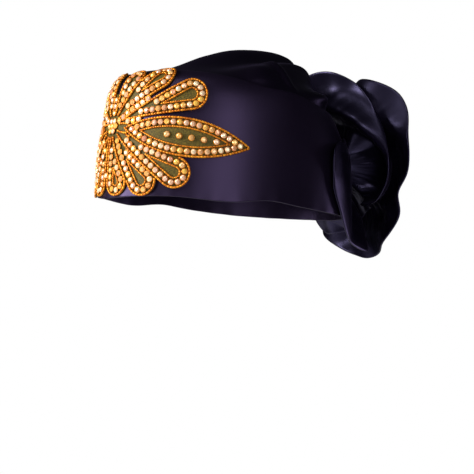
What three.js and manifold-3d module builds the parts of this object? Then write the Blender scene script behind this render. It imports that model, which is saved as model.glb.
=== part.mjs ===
// Ready-tied satin head tie: a stiffened band round the head, a soft crown gathered towards the back,
// a ruffled rosette over the gathers, and a beaded leaf applique on the front of the band.
// Millimetres, +Z up. The wearer faces -Y and the wearer's left is +X. The origin is the middle of the
// head opening, at the height of the band's lower edge on the forehead.
import * as THREE from "three";
import Module from "manifold-3d";

const { degToRad, radToDeg, lerp, smoothstep } = THREE.MathUtils;
const Point = THREE.Vector3;

// Driving dimensions.
const BAND_WALL = 2.0; // satin folded double over a stiff interlining
const CLOTH_WALL = 1.5; // crown and ruffles
const SEAM_GAP = 0.9; // between the band and the crown tucked into it
const SEAT_GAP = 0.9; // under anything sewn on to the band
const CROWN_TUCK = 10; // how far the crown reaches down inside the band
const COLUMNS = 54; // facets round the head
const CROWN_ROWS = 9; // facets from the crown's edge to its top
const CROWN_EASE = 1.7; // crowds those facets towards the top
const SEAM_EASE = { from: 1, to: 13 }; // above the band's edge, where the crown swells out of it
const BAND_LEVELS = [0, 0.45, 0.8, 0.93, 1]; // facets from the band's lower edge to its upper one

// The head form, a row for each level section: an egg that is widest at `middle` and has its own reach to
// the front and to the back of the head's middle line.
const FORM = [
  { height: -8, halfWidth: 80, front: 103, back: 103, middle: 0 },
  { height: 0, halfWidth: 80, front: 103, back: 103, middle: 0 },
  { height: 34, halfWidth: 79, front: 102, back: 101, middle: 0 },
  { height: 55, halfWidth: 77, front: 99, back: 95, middle: 0 },
  { height: 70, halfWidth: 75, front: 97, back: 86, middle: 0 },
  { height: 84, halfWidth: 71, front: 94, back: 76, middle: 0 },
  { height: 93, halfWidth: 65, front: 87, back: 70, middle: 0 },
  { height: 99, halfWidth: 56, front: 73, back: 66, middle: 4 },
  { height: 105, halfWidth: 45, front: 51, back: 62, middle: 9 },
  { height: 111, halfWidth: 34, front: 31, back: 57, middle: 14 },
  { height: 116.5, halfWidth: 22, front: 13, back: 51, middle: 18 },
  { height: 119.5, halfWidth: 10, front: -4, back: 41, middle: 21 },
];
const APEX = new Point(0, 21, 120.4);

// The band's two edges, from the middle of the front (0) round to the middle of the back (180).
const BAND_EDGES = [
  { angle: 0, low: 0, high: 98 },
  { angle: 40, low: 2, high: 97 },
  { angle: 67, low: -0.5, high: 92.5 },
  { angle: 84, low: 2, high: 87 },
  { angle: 100, low: -1, high: 84.5 },
  { angle: 125, low: -4, high: 77 },
  { angle: 180, low: -6, high: 66 },
];

// Gathers of the crown: ridges and hollows that fan out from the point where the cloth is drawn in
// behind the rosette. Bearing 0 runs over the top to the forehead, positive to the wearer's left.
const GATHER_POINT = new Point(0, 84, 84);
const GATHER_LEAN = new Point(0, -0.66, 0.75);
// Distances from that point: where the gathers open and are full, where they fade and how much is kept.
const GATHER_REACH = { opens: 18, full: 60, fades: 90, gone: 170, kept: 0.5 };
const GATHERS = [
  { bearing: -180, lift: 0 },
  { bearing: -118, lift: 2 },
  { bearing: -100, lift: -2.5 },
  { bearing: -82, lift: 3.5 },
  { bearing: -66, lift: -3 },
  { bearing: -50, lift: 4 },
  { bearing: -35, lift: -2.5 },
  { bearing: -19, lift: 3.5 },
  { bearing: -5, lift: -2.5 },
  { bearing: 10, lift: 3.5 },
  { bearing: 24, lift: -2.5 },
  { bearing: 38, lift: 4.5 },
  { bearing: 53, lift: -3.5 },
  { bearing: 69, lift: 4.5 },
  { bearing: 86, lift: -3 },
  { bearing: 104, lift: 2.5 },
  { bearing: 120, lift: -1 },
  { bearing: 180, lift: 0 },
];

// The rosette: ruffles stacked from the band backwards. Each row is a ridge or a hollow of the hem:
// its angle (0 to the wearer's left, 90 up), its reach from the middle, how far back it swings, and
// how far back the cloth bellies between its seam and its hem. The folds of a ruffle lean round by so
// many degrees for its whole depth.
const ROSETTE_HEIGHT = 38; // of the middle of the rosette
const ROSETTE_EYE = 12; // radius of the gathered ring
const SEAM_HEIGHTS = [0, 3, 6, 10.4]; // of the four gathered rings, from the band
const LAYER_STEP = 3; // least room between two ruffles at their seams
const HEM_STEP = 6; // least room between two ruffles at their hems
const RUFFLES = [
  {
    name: "ruffle_collar",
    lean: 0,
    columns: 54,
    close: 2 / 3,
    rows: 5,
    folds: [
      { angle: -160, reach: 70, back: -50, belly: -6 },
      { angle: -140, reach: 60, back: -40, belly: -4 },
      { angle: -124, reach: 50, back: -18, belly: 0 },
      { angle: -110, reach: 45, back: 2, belly: 0 },
      { angle: -98, reach: 47, back: 12, belly: 0 },
      { angle: -88, reach: 54, back: 20, belly: 2 },
      { angle: -78, reach: 66, back: 24, belly: 8 },
      { angle: -69, reach: 73, back: 17, belly: 10 },
      { angle: -61, reach: 77, back: 2, belly: 8 },
      { angle: -53, reach: 79, back: -16, belly: 2 },
      { angle: -44, reach: 80, back: -32, belly: -2 },
      { angle: -28, reach: 77, back: -48, belly: -6 },
      { angle: -10, reach: 74, back: -53, belly: -12 },
      { angle: 7, reach: 73, back: -52, belly: -12 },
      { angle: 22, reach: 45, back: -22, belly: -4 },
      { angle: 48, reach: 29, back: -6, belly: 0 },
      { angle: 70, reach: 24, back: -2, belly: 0 },
      { angle: 110, reach: 24, back: -2, belly: 0 },
      { angle: 130, reach: 40, back: -10, belly: 0 },
      { angle: 154, reach: 72, back: -46, belly: -6 },
      { angle: 178, reach: 72, back: -50, belly: -8 },
    ],
  },
  {
    name: "ruffle_middle",
    lean: 105,
    columns: 54,
    close: 2 / 3,
    rows: 5,
    folds: [
      { angle: -160, reach: 58, back: 16, belly: 0 },
      { angle: -137, reach: 54, back: 8, belly: 2 },
      { angle: -118, reach: 60, back: 14, belly: 0 },
      { angle: -98, reach: 50, back: 13, belly: 0 },
      { angle: -80, reach: 40, back: 8, belly: 0 },
      { angle: -62, reach: 37, back: 3, belly: 2 },
      { angle: -48, reach: 42, back: 2, belly: 4 },
      { angle: -37, reach: 53, back: 2, belly: 12 },
      { angle: -24, reach: 63, back: 3, belly: 18 },
      { angle: -4, reach: 67, back: 4, belly: 20 },
      { angle: 18, reach: 63, back: 6, belly: 20 },
      { angle: 40, reach: 61, back: 7, belly: 16 },
      { angle: 52, reach: 63, back: 7, belly: 2 },
      { angle: 62, reach: 66, back: 6, belly: -20 },
      { angle: 73, reach: 71, back: 1, belly: -28 },
      { angle: 86, reach: 76, back: -10, belly: -22 },
      { angle: 104, reach: 76, back: -17, belly: -12 },
      { angle: 122, reach: 73, back: -12, belly: -4 },
      { angle: 147, reach: 62, back: 2, belly: 0 },
      { angle: 173, reach: 58, back: 15, belly: 0 },
    ],
  },
  {
    name: "ruffle_rear",
    lean: -60,
    columns: 54,
    close: 2 / 3,
    rows: 5,
    folds: [
      { angle: -168, reach: 66, back: 18, belly: 0 },
      { angle: -145, reach: 69, back: 31, belly: 0 },
      { angle: -120, reach: 68, back: 17, belly: 0 },
      { angle: -95, reach: 71, back: 30, belly: 4 },
      { angle: -80, reach: 74, back: 26, belly: 10 },
      { angle: -62, reach: 73, back: 20, belly: 12 },
      { angle: -45, reach: 73, back: 20, belly: -12 },
      { angle: -31, reach: 71, back: 23, belly: -2 },
      { angle: -19, reach: 67, back: 14, belly: 4 },
      { angle: -6, reach: 67, back: 24, belly: 4 },
      { angle: 8, reach: 69, back: 22, belly: 0 },
      { angle: 26, reach: 70, back: 25, belly: -4 },
      { angle: 42, reach: 73, back: 30, belly: -8 },
      { angle: 56, reach: 75, back: 27, belly: -8 },
      { angle: 74, reach: 74, back: 14, belly: -4 },
      { angle: 94, reach: 70, back: 22, belly: 0 },
      { angle: 115, reach: 67, back: 31, belly: 0 },
      { angle: 140, reach: 69, back: 19, belly: 0 },
      { angle: 165, reach: 69, back: 31, belly: 0 },
    ],
  },
  {
    name: "ruffle_heart",
    lean: 0,
    columns: 35,
    close: 1 / 2,
    rows: 4,
    folds: evenFolds(7, { ridge: [36, 32, 3], hollow: [32, 22, -2] }),
  },
];
const HEAD_MARGIN = 1.2; // between the first ruffle and the head form, away from its seam
const HEAD_MARGIN_FROM = 40; // radius at which that margin is full
const RUFFLE_EASE = 1.4; // a ruffle leaves its seam nearly flat and swings back further out
const FOLD_SPREAD = 6; // a ruffle clears what the ones in front of it do within this distance
const STEEPEST = 2.2; // most that the room between two ruffles grows where they are steep
const LEAN_FROM = 0.45; // share of the way out from which folds lean
const BELLY_EASE = { front: 0.75, back: 0.95 }; // a hood rises at its seam, a pocket is deepest further out
const VIEWED = { from: -80, to: 100 }; // where the deep folds are, and a ruffle may have its columns closer
const ROW_EASE = 1.5; // rows of facets lie closer near the seam
const BUD = { turns: 2.1, core: 3, radius: 10.3, rise: 34, fall: 6, flare: 3, curl: 3, columns: 24, rows: 3 };

// The applique: petals that fan out from one middle, mirrored left and right. Bearing 0 points to the
// wearer's left along the band, 90 up; reach runs from the middle to the tip.
const APPLIQUE_HEIGHT = 54; // of the middle of the fan
const PETALS = [
  { name: "top_inner", bearing: 68, start: -3, reach: 49, halfWidth: 9.5, pointed: false },
  { name: "top_middle", bearing: 43.5, start: 0, reach: 67, halfWidth: 11.5, pointed: false },
  { name: "top_outer", bearing: 19.5, start: 8, reach: 84, halfWidth: 12.5, pointed: false },
  { name: "leaf_stem", bearing: -7, start: -2, reach: 34, halfWidth: 4.5, pointed: true },
  { name: "leaf", bearing: -7.5, start: 14, reach: 114, halfWidth: 14.8, pointed: true },
  { name: "low_outer", bearing: -30.5, start: -4, reach: 80, halfWidth: 12, pointed: false },
  { name: "low_middle", bearing: -50, start: -9, reach: 65, halfWidth: 11.5, pointed: false },
  { name: "low_inner", bearing: -75, start: 1, reach: 54, halfWidth: 10.5, pointed: false },
];
// Relief of a petal from its outline inwards: bead edging, stone row, inner edging, foil ground.
const RELIEF = [
  { inset: 0, rise: 1.0 },
  { inset: 1.4, rise: 2.3 },
  { inset: 3.6, rise: 3.1 },
  { inset: 6.8, rise: 1.3 },
];
const RELIEF_LIMIT = 0.9; // share of its half width to which a narrow petal takes the relief
const SIDE_STEPS = 4; // along each straight side of a petal
const TIP_STEPS = 3; // from a side to the tip
const MIDDLE = { radius: 15, bevel: 1.5, inner: 8, rise: 3.3, points: 16 }; // the stoned middle of the fan
const FUSE_TOLERANCE = 0.02;
const STONE = { girdle: 2.0, foot: 1.6, table: 1.1, belt: 0.8, height: 1.7, facets: 6 };
const LEAF_STONES = { count: 5, first: 52, pitch: 9, gap: 0.3 };

const satin = (colour) => new THREE.MeshStandardMaterial({ color: colour, roughness: 0.38, metalness: 0 });
const NAVY = satin(0x1c1938);
const NAVY_RUFFLE = satin(0x211d42);
const GOLD = new THREE.MeshStandardMaterial({ color: 0xd8922f, roughness: 0.35, metalness: 0.8 });
const CRYSTAL = new THREE.MeshStandardMaterial({ color: 0xf2d6b4, roughness: 0.08, metalness: 0.1 });

// A table read as a smooth curve: the value of one column where the key column has a given value.
function readTable(rows, key, column, where, period = 0) {
  const last = rows.length - 1;
  const row = (i) => {
    const turns = period ? Math.floor(i / rows.length) : 0;
    const r = rows[period ? i - turns * rows.length : Math.min(Math.max(i, 0), last)];
    return { at: r[key] + turns * period, value: r[column] };
  };
  let i = period ? -1 : 0;
  while (i < (period ? last : last - 1) && row(i + 1).at <= where) i += 1;
  const [before, from, to, after] = [row(i - 1), row(i), row(i + 1), row(i + 2)];
  const slope = (a, b) => (b.at > a.at ? (b.value - a.value) / (b.at - a.at) : 0);
  const span = to.at - from.at;
  const t = (where - from.at) / span;
  const [rise, start, end] = [to.value - from.value, slope(before, to) * span, slope(from, after) * span];
  return from.value + t * (start + t * (3 * rise - 2 * start - end + t * (start + end - 2 * rise)));
}

// Evenly spaced ridges and hollows, each given as [reach, back, belly].
function evenFolds(count, { ridge, hollow }) {
  const folds = [];
  for (let i = 0; i < 2 * count; i += 1) {
    const [reach, back, belly] = i % 2 ? hollow : ridge;
    folds.push({ angle: -180 + (i * 180) / count, reach, back, belly });
  }
  return folds;
}

// The head form's surface at an angle round the head (0 at the front, 90 to the wearer's left).
function formPoint(angle, height) {
  const turn = degToRad(angle);
  const size = (column) => readTable(FORM, "height", column, height);
  const middle = size("middle");
  const reach = Math.cos(turn) > 0 ? size("front") + middle : size("back") - middle;
  return new Point(size("halfWidth") * Math.sin(turn), middle - reach * Math.cos(turn), height);
}

function formNormal(angle, height) {
  const step = 0.2;
  const across = formPoint(angle + step, height).sub(formPoint(angle - step, height));
  const up = formPoint(angle, height + step).sub(formPoint(angle, height - step));
  return across.cross(up).normalize();
}

const aboveForm = (angle, height, lift) =>
  formPoint(angle, height).addScaledVector(formNormal(angle, height), lift);
const bandEdge = (angle, edge) => {
  const fromFront = Math.abs(((((angle + 180) % 360) + 360) % 360) - 180);
  return readTable(BAND_EDGES, "angle", edge, fromFront);
};

// Unit normals of a grid of points whose rows go round the piece, or along it where it doesn't close.
function gridNormals(grid, wraps) {
  return grid.map((line, r) =>
    line.map((_, c) => {
      const n = line.length;
      const next = wraps ? (c + 1) % n : Math.min(c + 1, n - 1);
      const previous = wraps ? (c + n - 1) % n : Math.max(c - 1, 0);
      const above = grid[Math.min(r + 1, grid.length - 1)][c];
      const below = grid[Math.max(r - 1, 0)][c];
      return line[next].clone().sub(line[previous]).cross(above.clone().sub(below)).normalize();
    }),
  );
}

const shifted = (grid, normals, by) =>
  grid.map((line, r) => line.map((p, c) => p.clone().addScaledVector(normals[r][c], by)));

function geometryOf(points, faces) {
  const geometry = new THREE.BufferGeometry().setFromPoints(points).setIndex(faces);
  geometry.computeVertexNormals();
  return geometry;
}

// A closed wall between two skins of equal grids. `poles` closes the last row over the top.
function wallGeometry(outer, inner, { wraps = true, poles = null } = {}) {
  const [rows, columns] = [outer.length, outer[0].length];
  const points = [...outer.flat(), ...inner.flat(), ...(poles ?? [])];
  const faces = [];
  const at = (skin, row, column) => (skin * rows + row) * columns + (column % columns);
  const quad = (a, b, c, d) => faces.push(a, b, c, a, c, d);
  const [lastRow, lastColumn] = [rows - 1, columns - 1];
  for (let column = 0; column < (wraps ? columns : lastColumn); column += 1) {
    const next = column + 1;
    for (let row = 0; row < lastRow; row += 1) {
      quad(at(0, row, column), at(0, row, next), at(0, row + 1, next), at(0, row + 1, column));
      quad(at(1, row, column), at(1, row + 1, column), at(1, row + 1, next), at(1, row, next));
    }
    quad(at(0, 0, column), at(1, 0, column), at(1, 0, next), at(0, 0, next));
    if (poles) {
      const [top, under] = [2 * rows * columns, 2 * rows * columns + 1];
      faces.push(at(0, lastRow, column), at(0, lastRow, next), top);
      faces.push(at(1, lastRow, next), at(1, lastRow, column), under);
    } else {
      quad(at(0, lastRow, column), at(0, lastRow, next), at(1, lastRow, next), at(1, lastRow, column));
    }
  }
  for (let row = 0; !wraps && row < lastRow; row += 1) {
    const [up, end] = [row + 1, lastColumn];
    quad(at(0, row, 0), at(0, up, 0), at(1, up, 0), at(1, row, 0));
    quad(at(0, row, end), at(1, row, end), at(1, up, end), at(0, up, end));
  }
  return geometryOf(points, faces);
}

// A closed body through a stack of rings that run anticlockwise, seen from the last ring's side. The last
// ring is closed with rungs between its two sides, the first one towards a spine that follows the band.
function stackGeometry(rings, spine) {
  const n = rings[0].length;
  const faces = [];
  for (let ring = 0; ring < rings.length - 1; ring += 1) {
    for (let i = 0; i < n; i += 1) {
      const [a, b] = [ring * n + i, ring * n + ((i + 1) % n)];
      faces.push(a, b, b + n, a, b + n, a + n);
    }
  }
  const [top, under] = [(rings.length - 1) * n, rings.length * n];
  const rung = (i) => (i === 0 || i === n / 2 ? i : under + i - 1);
  for (let i = 0; i < n / 2; i += 1) {
    const [a, b, c, d] = [i, i + 1, n - 1 - i, (n - i) % n];
    if (b !== c) faces.push(top + a, top + b, top + c, b, a, rung(b), c, rung(b), d);
    if (a !== d) faces.push(top + a, top + c, top + d, a, rung(a), rung(b), d, rung(b), rung(a));
  }
  return geometryOf([...rings.flat(), ...spine], faces);
}

const headAngles = Array.from({ length: COLUMNS }, (_, i) => (i * 360) / COLUMNS);

function bandGeometry() {
  const outer = BAND_LEVELS.map((level) =>
    headAngles.map((angle) => formPoint(angle, lerp(bandEdge(angle, "low"), bandEdge(angle, "high"), level))),
  );
  return wallGeometry(outer, shifted(outer, gridNormals(outer, true), -BAND_WALL));
}

// How far a gather lifts the crown, fading at the gather point, towards the forehead and at the band.
function gatherLift(point) {
  const from = point.clone().sub(GATHER_POINT);
  const bearing = radToDeg(Math.atan2(from.x, from.dot(GATHER_LEAN)));
  const distance = from.length();
  const { opens, full, fades, gone, kept } = GATHER_REACH;
  const strength = smoothstep(distance, opens, full) * lerp(1, kept, smoothstep(distance, fades, gone));
  return strength * readTable(GATHERS, "bearing", "lift", bearing);
}

function crownGeometry() {
  const top = FORM[FORM.length - 1].height;
  const outer = [];
  for (let row = 0; row <= CROWN_ROWS; row += 1) {
    const climb = 1 - (1 - row / CROWN_ROWS) ** CROWN_EASE;
    outer.push(
      headAngles.map((angle) => {
        const edge = bandEdge(angle, "high");
        const height = lerp(edge - CROWN_TUCK, top, climb);
        const free = smoothstep(height - edge, SEAM_EASE.from, SEAM_EASE.to);
        const lift = lerp(-BAND_WALL - SEAM_GAP, gatherLift(formPoint(angle, height)), free);
        return aboveForm(angle, height, lift);
      }),
    );
  }
  const inner = shifted(outer, gridNormals(outer, true), -CLOTH_WALL);
  return wallGeometry(outer, inner, { poles: [APEX, APEX.clone().setZ(APEX.z - CLOTH_WALL)] });
}

// Where the gathered ring of the first ruffle rests against the back of the band.
const ROSETTE_SEAT = formPoint(180, ROSETTE_HEIGHT - ROSETTE_EYE).y + SEAT_GAP + CLOTH_WALL / 2;

const around = (angle) => ((((angle + 180) % 360) + 360) % 360) - 180;
const foldOf = (tier, column, angle) => readTable(RUFFLES[tier].folds, "angle", column, angle, 360);

// A place in the rosette, before it swings back.
function rosettePoint(angle, radius) {
  const turn = degToRad(angle);
  return new Point(radius * Math.cos(turn), ROSETTE_SEAT, ROSETTE_HEIGHT + radius * Math.sin(turn));
}

// How far forward the first ruffle may lie before it would reach into the band or the crown.
function headLimit(angle, radius) {
  const { x, z } = rosettePoint(angle, radius);
  const height = Math.min(Math.max(z, 0), FORM[FORM.length - 1].height);
  const margin = CLOTH_WALL + HEAD_MARGIN * smoothstep(radius, ROSETTE_EYE, HEAD_MARGIN_FROM);
  const size = (column) => readTable(FORM, "height", column, height);
  const beside = x / (size("halfWidth") + margin);
  const back = size("back") - size("middle") + margin;
  return size("middle") + back * Math.sqrt(Math.max(0, 1 - beside ** 2)) - ROSETTE_SEAT;
}

// How far the cloth bellies back, read where its leaning fold comes from.
function bellyOf(tier, angle, out) {
  const within = Math.min(out, 1);
  const belly = foldOf(tier, "belly", around(angle + RUFFLES[tier].lean * Math.max(0, within - LEAN_FROM)));
  return belly * Math.sin(Math.PI * within ** (belly < 0 ? BELLY_EASE.front : BELLY_EASE.back));
}

// How far back a ruffle's cloth lies at a radius. It keeps its room from whatever lies in front of it.
function swing(tier, angle, radius) {
  if (radius <= ROSETTE_EYE) return SEAM_HEIGHTS[tier];
  const out = (radius - ROSETTE_EYE) / (foldOf(tier, "reach", angle) - ROSETTE_EYE);
  const line = lerp(SEAM_HEIGHTS[tier], foldOf(tier, "back", angle), out ** RUFFLE_EASE);
  const own = Math.max(line + bellyOf(tier, angle, out), headLimit(angle, radius));
  const room = lerp(LAYER_STEP, HEM_STEP, out);
  const limits = RUFFLES.slice(0, tier).map((ruffle, front) => {
    const { depth, steep } = frontOf(front, angle, radius);
    const past = radius - foldOf(front, "reach", angle) - 2 * HEM_STEP;
    return depth + room * steep - 2 * Math.max(0, past);
  });
  return Math.max(own, ...limits);
}

// The furthest back that a ruffle lies at a place and close around it, and how steep it is there.
function frontOf(tier, angle, radius) {
  const spread = lerp(1, FOLD_SPREAD, smoothstep(radius, ROSETTE_EYE, 2 * ROSETTE_EYE));
  const aside = radToDeg(spread / radius);
  const places = [[0, 0], [aside, 0], [-aside, 0], [0, spread], [0, -spread]];
  const depths = places.map(([turn, away]) => {
    const there = around(angle + turn);
    return swing(tier, there, Math.min(radius + away, foldOf(tier, "reach", there)));
  });
  const slope = Math.hypot(depths[1] - depths[2], depths[3] - depths[4]) / (2 * spread);
  return { depth: Math.max(...depths), steep: Math.min(Math.hypot(1, slope), STEEPEST) };
}

// Columns of a ruffle round the rosette, closer where the deep folds are.
function columnAngle(share, close) {
  const { from, to } = VIEWED;
  const beyond = (share - close) / (1 - close);
  return around(beyond < 0 ? lerp(from, to, share / close) : lerp(to, from + 360, beyond));
}

function ruffleGeometry(tier) {
  const { columns, close, rows } = RUFFLES[tier];
  const middle = [];
  for (let row = 0; row < rows; row += 1) {
    const line = [];
    for (let column = 0; column < columns; column += 1) {
      const angle = columnAngle(column / columns, close);
      const radius = lerp(ROSETTE_EYE, foldOf(tier, "reach", angle), (row / (rows - 1)) ** ROW_EASE);
      const point = rosettePoint(angle, radius);
      point.y += swing(tier, angle, radius);
      line.push(point);
    }
    middle.push(line);
  }
  const normals = gridNormals(middle, true);
  return wallGeometry(shifted(middle, normals, CLOTH_WALL / 2), shifted(middle, normals, -CLOTH_WALL / 2));
}

// The bud in the rosette's eye: a strip rolled up on itself and opening a little at its free edge.
function budGeometry() {
  const middle = [];
  for (let row = 0; row < BUD.rows; row += 1) {
    const up = row / (BUD.rows - 1);
    const line = [];
    for (let column = 0; column < BUD.columns; column += 1) {
      const along = column / (BUD.columns - 1);
      const angle = -along * BUD.turns * 2 * Math.PI;
      const radius = lerp(BUD.core, BUD.radius, along) + BUD.flare * up ** BUD.curl;
      const y = ROSETTE_SEAT + up * (BUD.rise - BUD.fall * along);
      line.push(new Point(radius * Math.cos(angle), y, ROSETTE_HEIGHT + radius * Math.sin(angle)));
    }
    middle.push(line);
  }
  const normals = gridNormals(middle, false);
  const [outer, inner] = [CLOTH_WALL / 2, -CLOTH_WALL / 2].map((by) => shifted(middle, normals, by));
  return wallGeometry(outer, inner, { wraps: false });
}

// Walks a curve from 0 until a given length of it has passed, and tells where it stands.
function walk(curve, length) {
  const step = 2;
  let [place, left] = [0, length];
  for (;;) {
    const stride = curve(place).distanceTo(curve(place + step));
    if (stride >= left) return place + (step * left) / stride;
    place += step;
    left -= stride;
  }
}

// A place on the band: `across` in mm round it from the middle of the front, `up` in mm along its slope.
function onBand(across, up) {
  const angle = Math.sign(across) * walk((a) => formPoint(a, APPLIQUE_HEIGHT), Math.abs(across));
  return { angle, height: walk((h) => formPoint(angle, h), up) };
}

// A point above the band, given along and beside a ray from the middle of the applique.
function onRay(bearing, along, beside, lift) {
  const [c, s] = [Math.cos(degToRad(bearing)), Math.sin(degToRad(bearing))];
  const { angle, height } = onBand(along * c - beside * s, APPLIQUE_HEIGHT + along * s + beside * c);
  return aboveForm(angle, height, lift);
}

// One side of a petal's outline drawn in by `inset`, from its start to its tip, as [along, beside].
function petalSide({ start, reach, halfWidth, pointed }, inset) {
  const side = [];
  if (pointed) {
    const [half, middle] = [(reach - start) / 2, (reach + start) / 2];
    const radius = (half ** 2 + halfWidth ** 2) / (2 * halfWidth);
    const drop = radius - halfWidth;
    const sweep = Math.acos(drop / (radius - inset));
    const steps = SIDE_STEPS + TIP_STEPS;
    for (let i = 0; i <= steps; i += 1) {
      const turn = lerp(-sweep, sweep, i / steps);
      side.push([middle + (radius - inset) * Math.sin(turn), (radius - inset) * Math.cos(turn) - drop]);
    }
    return side;
  }
  const [centre, radius] = [reach - halfWidth, halfWidth - inset];
  const lean = Math.asin(halfWidth / (centre - start));
  const foot = start + inset / Math.sin(lean);
  const shoulder = [centre - radius * Math.sin(lean), radius * Math.cos(lean)];
  for (let i = 0; i < SIDE_STEPS; i += 1) {
    side.push([lerp(foot, shoulder[0], i / SIDE_STEPS), lerp(0, shoulder[1], i / SIDE_STEPS)]);
  }
  for (let i = 0; i <= TIP_STEPS; i += 1) {
    const turn = lerp(Math.PI / 2 + lean, 0, i / TIP_STEPS);
    side.push([centre + radius * Math.cos(turn), radius * Math.sin(turn)]);
  }
  return side;
}

function petalGeometry(petal, bearing) {
  const ring = (inset, lift) => {
    const side = petalSide(petal, inset);
    const back = side.slice(1, -1).reverse();
    const outline = [...side.map(([a, b]) => [a, -b]), ...back];
    return outline.map(([along, beside]) => onRay(bearing, along, beside, lift));
  };
  const relief = RELIEF.filter(({ inset }) => inset < RELIEF_LIMIT * petal.halfWidth);
  const rings = [ring(0, SEAT_GAP), ...relief.map(({ inset, rise }) => ring(inset, rise))];
  const spine = petalSide(petal, 0).slice(1, -1);
  return stackGeometry(rings, spine.map(([along]) => onRay(bearing, along, 0, SEAT_GAP)));
}

function middleGeometry() {
  const ring = (radius, lift) =>
    Array.from({ length: MIDDLE.points }, (_, i) => onRay((i * 360) / MIDDLE.points, radius, 0, lift));
  const rings = [
    ring(MIDDLE.radius, SEAT_GAP),
    ring(MIDDLE.radius, RELIEF[0].rise),
    ring(MIDDLE.radius - MIDDLE.bevel, MIDDLE.rise),
    ring(MIDDLE.inner, MIDDLE.rise),
  ];
  const spine = [];
  for (let i = 1; i < MIDDLE.points / 2; i += 1) {
    spine.push(onRay(0, MIDDLE.radius * Math.cos((i * 2 * Math.PI) / MIDDLE.points), 0, SEAT_GAP));
  }
  return stackGeometry(rings, spine);
}

const wasm = await Module();
wasm.setup();

function fuse(geometries) {
  const solids = geometries.map((geometry) => {
    const mesh = new wasm.Mesh({
      numProp: 3,
      vertProperties: new Float32Array(geometry.attributes.position.array),
      triVerts: new Uint32Array(geometry.index.array),
    });
    return new wasm.Manifold(mesh);
  });
  const mesh = wasm.Manifold.union(solids).simplify(FUSE_TOLERANCE).getMesh();
  const geometry = new THREE.BufferGeometry();
  geometry.setAttribute("position", new THREE.BufferAttribute(mesh.vertProperties, 3));
  geometry.setIndex(new THREE.BufferAttribute(mesh.triVerts, 1));
  return geometry;
}

function appliqueGeometry() {
  const petals = PETALS.flatMap((petal) => [
    petalGeometry(petal, petal.bearing),
    petalGeometry(petal, 180 - petal.bearing),
  ]);
  return fuse([middleGeometry(), ...petals]);
}

// A cut stone with a table and a ring of facets, standing on the foil ground of a leaf.
function stoneMesh(name, bearing, along) {
  const { girdle, foot, table, belt, height, facets } = STONE;
  const outline = [[0, 0], [foot, 0], [girdle, belt], [table, height], [0, height]];
  const geometry = new THREE.LatheGeometry(outline.map(([r, y]) => new THREE.Vector2(r, y)), facets);
  const stone = pieceMesh(name, geometry, CRYSTAL);
  const ground = RELIEF[RELIEF.length - 1].rise + LEAF_STONES.gap;
  stone.position.copy(onRay(bearing, along, 0, ground));
  const out = stone.position.clone().sub(onRay(bearing, along, 0, 0)).normalize();
  stone.quaternion.setFromUnitVectors(new Point(0, 1, 0), out);
  return stone;
}

function pieceMesh(name, geometry, material) {
  const mesh = new THREE.Mesh(geometry, material);
  mesh.name = name;
  return mesh;
}

const group = new THREE.Group();
group.name = "head_tie";
group.add(pieceMesh("band", bandGeometry(), NAVY));
group.add(pieceMesh("crown", crownGeometry(), NAVY));
RUFFLES.forEach(({ name }, tier) => group.add(pieceMesh(name, ruffleGeometry(tier), NAVY_RUFFLE)));
group.add(pieceMesh("rosette_bud", budGeometry(), NAVY_RUFFLE));
group.add(pieceMesh("applique", appliqueGeometry(), GOLD));
const { bearing: leafBearing } = PETALS.find(({ name }) => name === "leaf");
for (let i = 0; i < LEAF_STONES.count; i += 1) {
  const along = LEAF_STONES.first + i * LEAF_STONES.pitch;
  group.add(stoneMesh(`leaf_stone_left_${i + 1}`, leafBearing, along));
  group.add(stoneMesh(`leaf_stone_right_${i + 1}`, 180 - leafBearing, along));
}

export default group;
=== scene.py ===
# %% [markdown]
# # A ready-tied satin head tie
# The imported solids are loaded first, as a fixed frame. Every soft piece is then made again as cloth in
# the same place, and the beaded applique gets its beads and stones. All lengths in the tables are
# millimetres; meshes are written in metres, in the frame of the solids.

# %% Load the frame
import math

import bpy
import numpy as np
from mathutils import Matrix, Quaternion, Vector


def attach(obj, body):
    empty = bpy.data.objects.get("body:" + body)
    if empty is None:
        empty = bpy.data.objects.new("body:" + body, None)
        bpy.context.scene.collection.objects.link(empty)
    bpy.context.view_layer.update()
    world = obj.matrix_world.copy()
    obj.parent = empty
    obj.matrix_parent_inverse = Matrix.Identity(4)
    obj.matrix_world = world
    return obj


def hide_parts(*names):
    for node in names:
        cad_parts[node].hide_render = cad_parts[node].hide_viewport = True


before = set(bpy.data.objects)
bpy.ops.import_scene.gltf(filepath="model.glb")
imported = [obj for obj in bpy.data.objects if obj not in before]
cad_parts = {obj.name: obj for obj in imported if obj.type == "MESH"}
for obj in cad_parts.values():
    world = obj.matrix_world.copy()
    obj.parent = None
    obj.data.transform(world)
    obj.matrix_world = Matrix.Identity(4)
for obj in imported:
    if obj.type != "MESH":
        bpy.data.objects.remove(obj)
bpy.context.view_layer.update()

MM = 0.001
print("solids in the frame:", len(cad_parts))

# %% [markdown]
# ## Camera
# A photograph fixes a camera: the side it looks from, how far away it stands and how it leans. It could
# be set by eye in the viewport, but a few named numbers give the same picture each time. They were found
# by laying the solids over the photograph until edges met. A long lens from 1.3 m keeps the near and the
# far side almost equal in size.

# %% Camera at the photograph's angle
IMAGE = 474  # pixels, both ways
SIDE, RISE, LEAN = (math.radians(v) for v in (57.5, -1.5, 2.2))
DISTANCE = 1.3  # metres, from the middle of the head opening
PIXELS_PER_MM = 1.288  # at that distance
ORIGIN_PIXEL = (224.28, 206.38)  # where the middle of the head opening falls in the picture

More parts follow.
